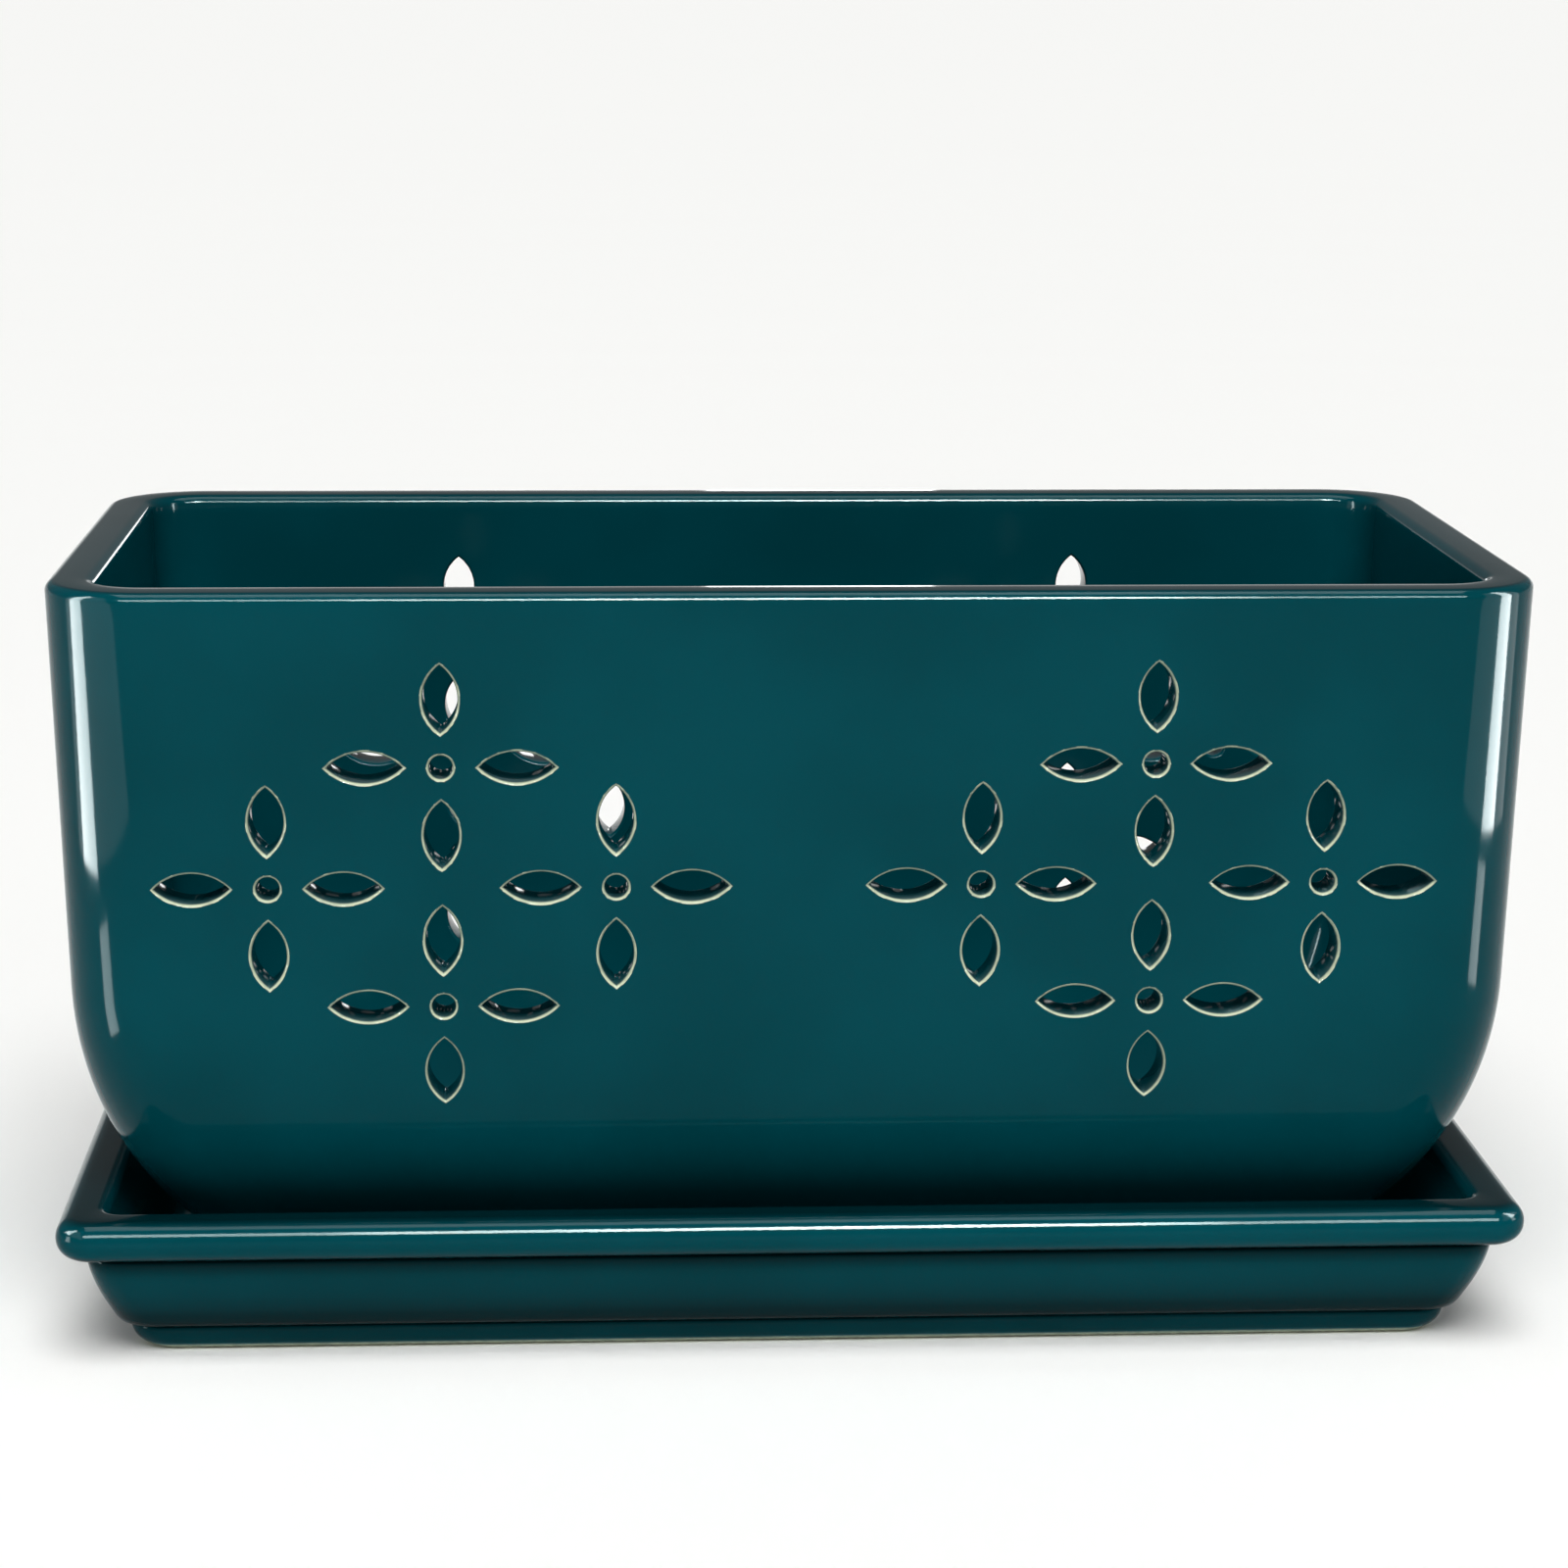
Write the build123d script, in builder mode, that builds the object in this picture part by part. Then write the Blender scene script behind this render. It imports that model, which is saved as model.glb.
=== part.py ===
"""Rectangular glazed orchid planter with pierced walls, standing in its own drip saucer.

Millimetres. X runs along the planter, the front faces -Y, Z is up.
The origin is at the bottom centre of the saucer, on the surface that it stands on.
"""

import os
from math import atan2, cos, degrees, radians, sin, sqrt, tan

from build123d import *

os.makedirs("parts", exist_ok=True)

# Pot: overall
pot_length = 333.0
pot_depth = 164.0
pot_height = 168.0
pot_corner = 23.0
pot_wall = 11.0
pot_floor = 9.0
rim_bevel = 1.8
cavity_bevel = 8.0

# Pot: nearly upright wall above, a belly that rolls in towards the foot below
wall_draft = radians(1.6)
belly_height = 75.0
belly_radius = 95.0

# Pot: foot ring, with a notch through it on each long side to let water out
foot_height = 14.0
foot_step = 0.8
foot_lean = 5.0
foot_corner = 18.0
foot_ring = 10.0
foot_recess = 6.0
notch_width = 16.0
notch_height = 3.5

# Pot: drain holes in the floor
drain_diameter = 15.0
drain_spacing = 84.0
drain_count = 3

# Pot: pierced pattern, medallions of four flowers, each of four petals round an eye
medallion_spacing = 157.9
medallion_count = 2
medallion_drop = 66.2
flower_side = 38.4
flower_rise = 27.3
flower_eye = 6.5
eye_flats = 10
petal_flats = 4
side_petal_length = 18.4
side_petal_width = 8.2
side_petal_reach = 16.7
rise_petal_length = 16.8
rise_petal_width = 9.0
rise_petal_reach = 15.3

# Saucer: overall, its lip set out from the pot's rim at the ends and along the long sides
lip_past_ends = -0.25
lip_past_sides = 6.75
saucer_corner = 8.5
saucer_height = 35.0
saucer_floor = 8.0

# Saucer: rolled lip, swelling wall under it, stepped foot under that
lip_height = 9.3
lip_round = 4.5
lip_width = 11.5
lip_bevel = 2.5
wall_inset = 6.0
wall_lean = 4.5
wall_swell = 6.0
step_inset = 14.5
step_height = 6.5
step_lean = 4.5

# Saucer: inside and underside
basin_lean = 7.5
basin_corner = 1.5
base_ring = 14.0
base_recess = 2.0

# The pot stands on the saucer's floor, and the saucer's plan follows the pot's
pot_base = saucer_floor
saucer_length = pot_length + 2 * lip_past_ends
saucer_depth = pot_depth + 2 * lip_past_sides

# The pattern hangs from the rim
medallion_height = pot_height - medallion_drop


def wall_inset_at(height):
    """How far the pot's outer face lies inside its rim outline, at a height above its foot."""
    line = (pot_height - max(height, belly_height)) * tan(wall_draft)
    if height >= belly_height:
        return line
    drop = belly_height + belly_radius * sin(wall_draft) - height
    return line + belly_radius * cos(wall_draft) - sqrt(belly_radius**2 - drop**2)


class WallSection(BaseSketchObject):
    """Upright section between two facing walls, each a drafted line and a belly arc, over a flat bottom."""

    def __init__(self, span, bottom, mode=Mode.ADD):
        high, bend, low = (
            (span / 2 - wall_inset_at(height), height) for height in (pot_height, belly_height, bottom)
        )
        with BuildSketch() as section:
            with BuildLine():
                RadiusArc(bend, low, belly_radius)
                Polyline(bend, high, (0, pot_height), (0, bottom), low)
            make_face()
            mirror(about=Plane.YZ)
        super().__init__(obj=section.sketch, rotation=0, align=None, mode=mode)


class Petal(BaseSketchObject):
    """One petal: two arcs that meet in a point at both ends, each cut as a few flats to keep facets few."""

    def __init__(self, length, width, rotation=0, mode=Mode.ADD):
        tip = length / 2
        belly = width / 2
        with BuildSketch() as outline:
            with BuildLine():
                arc = ThreePointArc((-tip, 0), (0, belly), (tip, 0), mode=Mode.PRIVATE)
                Polyline(*(arc @ (step / petal_flats) for step in range(petal_flats + 1)))
                mirror(about=Plane.XZ)
            make_face()
        super().__init__(obj=outline.sketch, rotation=rotation, align=None, mode=mode)


def crossed_walls(inset, bottom):
    """The pot's form drawn in by an inset: what the front and the end wall sections have in common."""
    with BuildPart() as form:
        with BuildSketch(facing_front):
            WallSection(pot_length - 2 * inset, bottom)
        extrude(amount=pot_depth / 2, both=True)
        with BuildSketch(facing_end):
            WallSection(pot_depth - 2 * inset, bottom)
        extrude(amount=pot_length / 2, both=True, mode=Mode.INTERSECT)
    return form


def rising_edges(form):
    """The edges that climb a form's corners, without its level outlines."""
    return form.edges().filter_by(lambda edge: edge.bounding_box().size.Z > 1)


def pot_plan(inset, corner):
    """The pot's plan, drawn in by an inset all round, for the open sketch."""
    return RectangleRounded(pot_length - 2 * inset, pot_depth - 2 * inset, corner)


def saucer_plan(inset, corner):
    """The saucer's plan, drawn in by an inset all round, for the open sketch."""
    return RectangleRounded(saucer_length - 2 * inset, saucer_depth - 2 * inset, corner)


facing_front = Plane((0, 0, pot_base), x_dir=(1, 0, 0), z_dir=(0, -1, 0))
facing_end = Plane((0, 0, pot_base), x_dir=(0, 1, 0), z_dir=(1, 0, 0))
foot_inset = wall_inset_at(foot_height) + foot_step + foot_lean

body = crossed_walls(0, foot_height)
with body:
    fillet(rising_edges(body), radius=pot_corner)

cavity = crossed_walls(pot_wall, foot_recess + pot_floor)
with cavity:
    chamfer(rising_edges(cavity), length=cavity_bevel)

with BuildPart() as pot:
    add(body.part)
    with BuildSketch(Plane.XY.offset(pot_base)):
        pot_plan(foot_inset, foot_corner)
    extrude(amount=foot_height, taper=-degrees(atan2(foot_lean, foot_height)))
    add(cavity.part, mode=Mode.SUBTRACT)
    chamfer(pot.faces().sort_by(Axis.Z)[-1].edges(), length=rim_bevel)
    with BuildSketch(Plane.XY.offset(pot_base)):
        pot_plan(foot_inset + foot_ring, foot_corner - foot_ring)
    extrude(amount=foot_recess, mode=Mode.SUBTRACT)
    with BuildSketch(Plane.XY.offset(pot_base)):
        Rectangle(notch_width, pot_depth)
    extrude(amount=notch_height, mode=Mode.SUBTRACT)
    with BuildSketch(Plane.XY.offset(pot_base + foot_recess)):
        with GridLocations(drain_spacing, 0, drain_count, 1):
            Circle(drain_diameter / 2)
    extrude(amount=pot_floor, mode=Mode.SUBTRACT)
    with BuildSketch(facing_front):
        with GridLocations(medallion_spacing, 0, medallion_count, 1):
            with Locations(
                (-flower_side, medallion_height),
                (flower_side, medallion_height),
                (0, medallion_height - flower_rise),
                (0, medallion_height + flower_rise),
            ):
                RegularPolygon(flower_eye / 2, eye_flats)
                with Locations((-side_petal_reach, 0), (side_petal_reach, 0)):
                    Petal(side_petal_length, side_petal_width)
                with Locations((0, -rise_petal_reach), (0, rise_petal_reach)):
                    Petal(rise_petal_length, rise_petal_width, rotation=90)
    extrude(amount=pot_depth, both=True, mode=Mode.SUBTRACT)

with BuildPart() as saucer:
    with BuildSketch(Plane.XY.offset(saucer_height - lip_height)):
        saucer_plan(0, saucer_corner)
    extrude(amount=lip_height)
    fillet(saucer.faces().filter_by(Plane.XY).edges(), radius=lip_round)
    wall_height = saucer_height - lip_height - step_height
    with BuildSketch(Plane.XY.offset(step_height)):
        saucer_plan(wall_inset + wall_lean, saucer_corner)
    extrude(amount=wall_height, taper=-degrees(atan2(wall_lean, wall_height)))
    fillet(saucer.faces().sort_by(Axis.Z)[0].edges(), radius=wall_swell)
    with BuildSketch(Plane.XY):
        saucer_plan(step_inset + step_lean, saucer_corner)
    extrude(amount=step_height, taper=-degrees(atan2(step_lean, step_height)))
    basin_depth = saucer_height - saucer_floor
    with BuildSketch(Plane.XY.offset(saucer_floor)):
        saucer_plan(lip_width + basin_lean, basin_corner)
    extrude(amount=basin_depth, taper=-degrees(atan2(basin_lean, basin_depth)), mode=Mode.SUBTRACT)
    chamfer(saucer.faces().sort_by(Axis.Z)[-1].inner_wires().edges(), length=lip_bevel)
    with BuildSketch(Plane.XY):
        saucer_plan(step_inset + step_lean + base_ring, saucer_corner)
    extrude(amount=base_recess, mode=Mode.SUBTRACT)

for piece, name in ((pot, "pot"), (saucer, "saucer")):
    piece.part.label = name
    export_step(piece.part, f"parts/{name}.step")
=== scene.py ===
"""Looks of a pierced, glazed orchid planter and its drip saucer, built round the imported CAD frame.

Sizes are written in millimetres and turned to metres where meshes, lamps and the camera are made. The frame
is the CAD's: X runs along the planter, the front faces -Y, Z is up, and the saucer stands at Z = 0.
"""

from __future__ import annotations

import logging
import math
from dataclasses import dataclass
from enum import Enum
from typing import Any, NamedTuple

import bpy
import numpy as np
from mathutils import Matrix, Vector

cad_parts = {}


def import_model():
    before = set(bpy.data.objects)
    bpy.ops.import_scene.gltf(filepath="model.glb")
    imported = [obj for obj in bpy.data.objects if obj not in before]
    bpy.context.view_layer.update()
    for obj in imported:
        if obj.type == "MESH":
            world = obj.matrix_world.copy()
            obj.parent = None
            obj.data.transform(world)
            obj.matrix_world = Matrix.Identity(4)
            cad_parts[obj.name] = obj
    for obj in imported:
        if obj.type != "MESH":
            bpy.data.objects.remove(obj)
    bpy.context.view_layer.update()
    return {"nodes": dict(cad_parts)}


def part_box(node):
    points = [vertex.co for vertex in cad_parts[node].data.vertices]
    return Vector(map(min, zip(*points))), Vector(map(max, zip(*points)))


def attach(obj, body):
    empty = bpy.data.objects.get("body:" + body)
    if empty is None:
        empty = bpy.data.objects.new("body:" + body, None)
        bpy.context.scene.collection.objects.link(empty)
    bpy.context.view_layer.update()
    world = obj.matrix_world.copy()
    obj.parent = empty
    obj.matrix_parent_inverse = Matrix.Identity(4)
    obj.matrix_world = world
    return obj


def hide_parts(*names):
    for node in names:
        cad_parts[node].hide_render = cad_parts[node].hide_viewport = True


log = logging.getLogger("orchid_planter")

MM = 0.001

# Mesh attributes that the finishes and the piercing read
# Pale glaze break above 0 and painted shade below 0
BREAK_AND_SHADE_ATTRIBUTE = "glaze_thin"
BARE_ATTRIBUTE = "wiped_bare"
SLOT_ATTRIBUTE = "slot_wall"

# A mix node's sockets share their names between its data types, so those for colours go by number
MIX_SHARE, MIX_FROM, MIX_TO, MIXED = 0, 6, 7, 2


def srgb(code: str) -> tuple[float, float, float, float]:
    """Turns an sRGB hex colour into linear light.

    Args:
        code: Six hex digits with a leading #.

    Returns:
        Linear red, green, blue, and an alpha of 1.
    """
    parts = [int(code[start : start + 2], 16) / 255 for start in (1, 3, 5)]
    linear = [part / 12.92 if part <= 0.04045 else ((part + 0.055) / 1.055) ** 2.4 for part in parts]
    return linear[0], linear[1], linear[2], 1.0


def add_node(
    tree: bpy.types.NodeTree, kind: str, inputs: dict | None = None, **settings: Any
) -> bpy.types.Node:
    """Adds one node with its settings and links.

    Args:
        tree: The tree that the node joins.
        kind: The node's type name.
        inputs: Socket name or number to a value, or to one or a list of output sockets that are linked to it.
        **settings: The node's own properties.

    Returns:
        The new node.
    """
    node = tree.nodes.new(kind)
    for name, value in settings.items():
        setattr(node, name, value)
    for key, value in (inputs or {}).items():
        for one in value if isinstance(value, list) else [value]:
            if isinstance(one, bpy.types.NodeSocket):
                tree.links.new(one, node.inputs[key])
            else:
                node.inputs[key].default_value = one
    return node


def empty_tree(owner: bpy.types.Material | bpy.types.World) -> bpy.types.NodeTree:
    """Switches on the nodes of a material or a world and clears them.

    Args:
        owner: The material or world.

    Returns:
        Its empty tree.
    """
    owner.use_nodes = True
    owner.node_tree.nodes.clear()
    return owner.node_tree


def new_object(name: str, data: bpy.types.ID) -> bpy.types.Object:
    """Adds an object to the scene.

    Args:
        name: The object's name.
        data: Its mesh, lamp or camera.

    Returns:
        The object, at the origin.
    """
    made = bpy.data.objects.new(name, data)
    bpy.context.scene.collection.objects.link(made)
    return made


def standing(place: Vector, right: Vector, up: Vector) -> Matrix:
    """Place and turn of a camera or a lamp, which looks along its own -Z.

    Args:
        place: Where it stands, m.
        right: The way to its right.
        up: The way over it, square to that.

    Returns:
        Its matrix.
    """
    turn = Matrix((right, up, right.cross(up))).transposed().to_4x4()
    return Matrix.Translation(place) @ turn


def sweep(start: float, end: float, steps: int) -> list[tuple[float, float]]:
    """Sine and cosine along part of a turn.

    Args:
        start: First angle, degrees.
        end: Last angle, degrees.
        steps: Number of steps between them.

    Returns:
        Pairs of sine and cosine, one for each end of each step.
    """
    angles = (math.radians(start + (end - start) * step / steps) for step in range(steps + 1))
    return [(math.sin(angle), math.cos(angle)) for angle in angles]


def circle(steps: int) -> np.ndarray:
    """Flat points of a circle of radius 1, counter-clockwise."""
    angles = np.linspace(0, 2 * math.pi, steps, endpoint=False)
    return np.column_stack([np.cos(angles), np.sin(angles)])


def lifted(flat: np.ndarray, height: float) -> np.ndarray:
    """Flat points set at a height."""
    return np.column_stack([flat, np.full(len(flat), height)])


def tube_faces(levels: int, count: int) -> list[list[int]]:
    """Faces of a closed tube through rings of points, with a flat face over the first and the last.

    Args:
        levels: Number of rings.
        count: Points in each ring.

    Returns:
        Lists of point numbers, which face outwards where the rings run counter-clockwise from above.
    """
    faces = [list(range(count))[::-1]]
    for low in range(0, (levels - 1) * count, count):
        for step in range(count):
            after = (step + 1) % count
            faces.append([low + step, low + after, low + count + after, low + count + step])
    faces.append(list(range((levels - 1) * count, levels * count)))
    return faces


class SlotKind(Enum):
    """The three shapes that the wall is pierced with."""

    LYING_PETAL = "lying petal"
    UPRIGHT_PETAL = "upright petal"
    EYE = "eye"


class Row(NamedTuple):
    """One level ring of a piece's skin.

    Attributes:
        inset: Distance in from the piece's widest outline, mm.
        height: Height above the studio floor, mm.
        corner: Radius of the plan's corners here, mm.
        thin: How far the glaze has run off here, from 0, full, to 1, bare edge, and below 0 how much painted
            shade lies here, down to -1.
        bare: Whether the face from this ring to the next was wiped free of glaze.
    """

    inset: float
    height: float
    corner: float
    thin: float = 0.0
    bare: bool = False


@dataclass(frozen=True)
class RoundedPlan:
    """A rounded rectangle that is divided the same way at every inset.

    Attributes:
        half_x: Half the outline's length, mm.
        half_y: Half the outline's depth, mm.
        steps_x: Divisions of each long straight side.
        steps_y: Divisions of each short straight side.
        steps_corner: Divisions of each corner.
    """

    half_x: float
    half_y: float
    steps_x: int
    steps_y: int
    steps_corner: int

    def ring(self, row: Row) -> np.ndarray:
        """Points of one ring, counter-clockwise from above.

        Args:
            row: Where the ring lies.

        Returns:
            An array of points, mm.
        """
        corner = row.corner
        flat_x = self.half_x - row.inset - corner
        flat_y = self.half_y - row.inset - corner
        # Each side's start, its run, its divisions, and the half turns from +X to the way that it faces
        sides = (
            (np.array([flat_x, flat_y + corner]), np.array([-2 * flat_x, 0.0]), self.steps_x, 0.5),
            (np.array([-flat_x - corner, flat_y]), np.array([0.0, -2 * flat_y]), self.steps_y, 1.0),
            (np.array([-flat_x, -flat_y - corner]), np.array([2 * flat_x, 0.0]), self.steps_x, 1.5),
            (np.array([flat_x + corner, -flat_y]), np.array([0.0, 2 * flat_y]), self.steps_y, 2.0),
        )
        points = []
        for start, run, steps, turn in sides:
            points += [start + run * step / steps for step in range(steps)]
            outward = np.array([math.cos(turn * math.pi), math.sin(turn * math.pi)])
            centre = start + run - corner * outward
            for step in range(self.steps_corner):
                angle = (turn + 0.5 * step / self.steps_corner) * math.pi
                points.append(centre + corner * np.array([math.cos(angle), math.sin(angle)]))
        return lifted(np.array(points), row.height)

    def solid(self, name: str, rows: list[Row]) -> bpy.types.Mesh:
        """A closed mesh through a list of rings, with a flat face over the first and the last.

        Args:
            name: The mesh's name.
            rows: The rings in order, from the middle of the underside, round the outside, to the inside.

        Returns:
            The mesh, in metres, with material 1 on the bare faces and the attributes for bare faces and for
            glaze break and painted shade.
        """
        rings = [self.ring(row) for row in rows]
        count = len(rings[0])
        faces = tube_faces(len(rings), count)
        bare = [rows[0].bare, *(row.bare for row in rows[:-1] for _ in range(count)), rows[-1].bare]
        mesh = bpy.data.meshes.new(name)
        mesh.from_pydata((np.vstack(rings) * MM).tolist(), [], faces)
        mesh.polygons.foreach_set("material_index", [int(flag) for flag in bare])
        mesh.polygons.foreach_set("use_smooth", [True] * len(faces))
        wiped = mesh.attributes.new(BARE_ATTRIBUTE, "BOOLEAN", "FACE")
        wiped.data.foreach_set("value", bare)
        thin = mesh.attributes.new(BREAK_AND_SHADE_ATTRIBUTE, "FLOAT", "POINT")
        thin.data.foreach_set("value", np.repeat([row.thin for row in rows], count).astype(np.float32))
        mesh.update()
        return mesh


@dataclass(frozen=True)
class StonewareGlaze:
    """Gloss glaze fired on stoneware: a dark glass that is pale where it breaks, with painted shade in
    creases and on tops.

    Attributes:
        name: The material's name.
        body: Colour where the glaze lies evenly.
        shade: Colour of the clouds where it lies a little thicker.
        painted_shade: Colour of the painted shade in creases, under lips and on tops.
        broken: Colour on edges that it has run off.
        roughness: Roughness of the fired gloss.
        ior: Refractive index of the glass.
        shine: Share of the surface's reflection, where 0.5 is all of it.
        tint: Colour that the glass gives to what it reflects.
        cloud_mm: Size of the soft clouds of thicker and thinner glaze.
        cloud_span: Values of the clouds' noise between which shade turns to body.
        fray_mm: Size of the uneven spots along a broken edge.
        fray_least: Least strength of the broken colour there.
        fray_spread: What the spots add to that strength.
        ripple_mm: Spacing of the low waves left by the brush or the dip.
        ripple_rise_mm: Height of those waves.
    """

    name: str
    body: str
    shade: str
    painted_shade: str
    broken: str
    roughness: float = 0.085
    ior: float = 1.45
    shine: float = 0.06
    tint: str = "#DDF4F4"
    cloud_mm: float = 70.0
    cloud_span: tuple[float, float] = (0.35, 0.68)
    fray_mm: float = 3.0
    fray_least: float = 0.55
    fray_spread: float = 0.9
    ripple_mm: float = 22.0
    ripple_rise_mm: float = 0.04

    def material(self) -> bpy.types.Material:
        """Builds the material.

        Returns:
            A material that reads Object coordinates and the thin-glaze attribute.
        """
        made = bpy.data.materials.new(self.name)
        tree = empty_tree(made)
        place = add_node(tree, "ShaderNodeTexCoord").outputs["Object"]
        cloud = add_node(
            tree,
            "ShaderNodeTexNoise",
            {"Vector": place, "Scale": 1 / (self.cloud_mm * MM), "Detail": 3.0, "Roughness": 0.55},
        )
        cloud_low, cloud_high = self.cloud_span
        depth = add_node(
            tree,
            "ShaderNodeMapRange",
            {"Value": cloud.outputs["Fac"], "From Min": cloud_low, "From Max": cloud_high},
            interpolation_type="SMOOTHSTEP",
        )
        even = add_node(
            tree,
            "ShaderNodeMix",
            {MIX_SHARE: depth.outputs["Result"], MIX_FROM: srgb(self.shade), MIX_TO: srgb(self.body)},
            data_type="RGBA",
        )
        thin = add_node(tree, "ShaderNodeAttribute", attribute_name=BREAK_AND_SHADE_ATTRIBUTE).outputs["Fac"]
        fray = add_node(
            tree, "ShaderNodeTexNoise", {"Vector": place, "Scale": 1 / (self.fray_mm * MM), "Detail": 2.0}
        )
        frayed = add_node(
            tree,
            "ShaderNodeMath",
            {0: fray.outputs["Fac"], 1: self.fray_spread, 2: self.fray_least},
            operation="MULTIPLY_ADD",
        )
        # Where the attribute is above 0 the glaze breaks pale and frayed, and below 0 it takes the dark
        # painted shade
        colour = even
        for strength, tone in ((frayed.outputs["Value"], self.broken), (-1.0, self.painted_shade)):
            share = add_node(
                tree, "ShaderNodeMath", {0: thin, 1: strength}, operation="MULTIPLY", use_clamp=True
            )
            colour = add_node(
                tree,
                "ShaderNodeMix",
                {MIX_SHARE: share.outputs["Value"], MIX_FROM: colour.outputs[MIXED], MIX_TO: srgb(tone)},
                data_type="RGBA",
            )
        ripple = add_node(
            tree,
            "ShaderNodeTexNoise",
            {"Vector": place, "Scale": 1 / (self.ripple_mm * MM), "Detail": 1.0, "Roughness": 0.4},
        )
        bump = add_node(
            tree,
            "ShaderNodeBump",
            {"Height": ripple.outputs["Fac"], "Distance": self.ripple_rise_mm * MM, "Strength": 1.0},
        )
        shader = add_node(
            tree,
            "ShaderNodeBsdfPrincipled",
            {
                "Base Color": colour.outputs[MIXED],
                "Roughness": self.roughness,
                "IOR": self.ior,
                "Specular IOR Level": self.shine,
                "Specular Tint": srgb(self.tint),
                "Normal": bump.outputs["Normal"],
            },
        )
        add_node(tree, "ShaderNodeOutputMaterial", {"Surface": shader.outputs["BSDF"]})
        return made


@dataclass(frozen=True)
class BareStoneware:
    """Fired stoneware wiped free of glaze: a dry, buff, finely gritted clay.

    Attributes:
        name: The material's name.
        clay: The clay's own colour.
        grit: Colour of the darker grit in it.
        grit_mm: Size of the grit, drawn coarser than real so that it shows.
        grit_span: Values of the grit's noise between which clay turns to grit.
        grit_rise_mm: Height of the grit.
        roughness: Roughness of the dry face.
        ior: Refractive index of the clay.
    """

    name: str = "bare_buff_stoneware"
    clay: str = "#B39C7D"
    grit: str = "#7E6850"
    grit_mm: float = 1.4
    grit_span: tuple[float, float] = (0.42, 0.66)
    grit_rise_mm: float = 0.15
    roughness: float = 0.85
    ior: float = 1.5

    def material(self) -> bpy.types.Material:
        """Builds the material.

        Returns:
            A matt material that reads Object coordinates.
        """
        made = bpy.data.materials.new(self.name)
        tree = empty_tree(made)
        place = add_node(tree, "ShaderNodeTexCoord").outputs["Object"]
        grit = add_node(
            tree,
            "ShaderNodeTexNoise",
            {"Vector": place, "Scale": 1 / (self.grit_mm * MM), "Detail": 4.0, "Roughness": 0.6},
        ).outputs["Fac"]
        grit_low, grit_high = self.grit_span
        share = add_node(
            tree, "ShaderNodeMapRange", {"Value": grit, "From Min": grit_low, "From Max": grit_high}
        )
        colour = add_node(
            tree,
            "ShaderNodeMix",
            {MIX_SHARE: share.outputs["Result"], MIX_FROM: srgb(self.clay), MIX_TO: srgb(self.grit)},
            data_type="RGBA",
        )
        bump = add_node(
            tree, "ShaderNodeBump", {"Height": grit, "Distance": self.grit_rise_mm * MM, "Strength": 0.6}
        )
        shader = add_node(
            tree,
            "ShaderNodeBsdfPrincipled",
            {
                "Base Color": colour.outputs[MIXED],
                "Roughness": self.roughness,
                "IOR": self.ior,
                "Normal": bump.outputs["Normal"],
            },
        )
        add_node(tree, "ShaderNodeOutputMaterial", {"Surface": shader.outputs["BSDF"]})
        return made


@dataclass(frozen=True)
class BackdropPaper:
    """Uncoated backdrop paper: pale, matt and even.

    Attributes:
        name: The material's name.
        colour: The paper's colour.
        roughness: Roughness of its face.
        shine: Share of its reflection, where 0.5 is all of it.
    """

    name: str = "matt_backdrop_paper"
    colour: str = "#FAFAF8"
    roughness: float = 0.9
    shine: float = 0.1

    def material(self) -> bpy.types.Material:
        """Builds the material.

        Returns:
            A plain matt material.
        """
        made = bpy.data.materials.new(self.name)
        tree = empty_tree(made)
        shader = add_node(
            tree,
            "ShaderNodeBsdfPrincipled",
            {
                "Base Color": srgb(self.colour),
                "Roughness": self.roughness,
                "Specular IOR Level": self.shine,
            },
        )
        add_node(tree, "ShaderNodeOutputMaterial", {"Surface": shader.outputs["BSDF"]})
        return made


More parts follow.
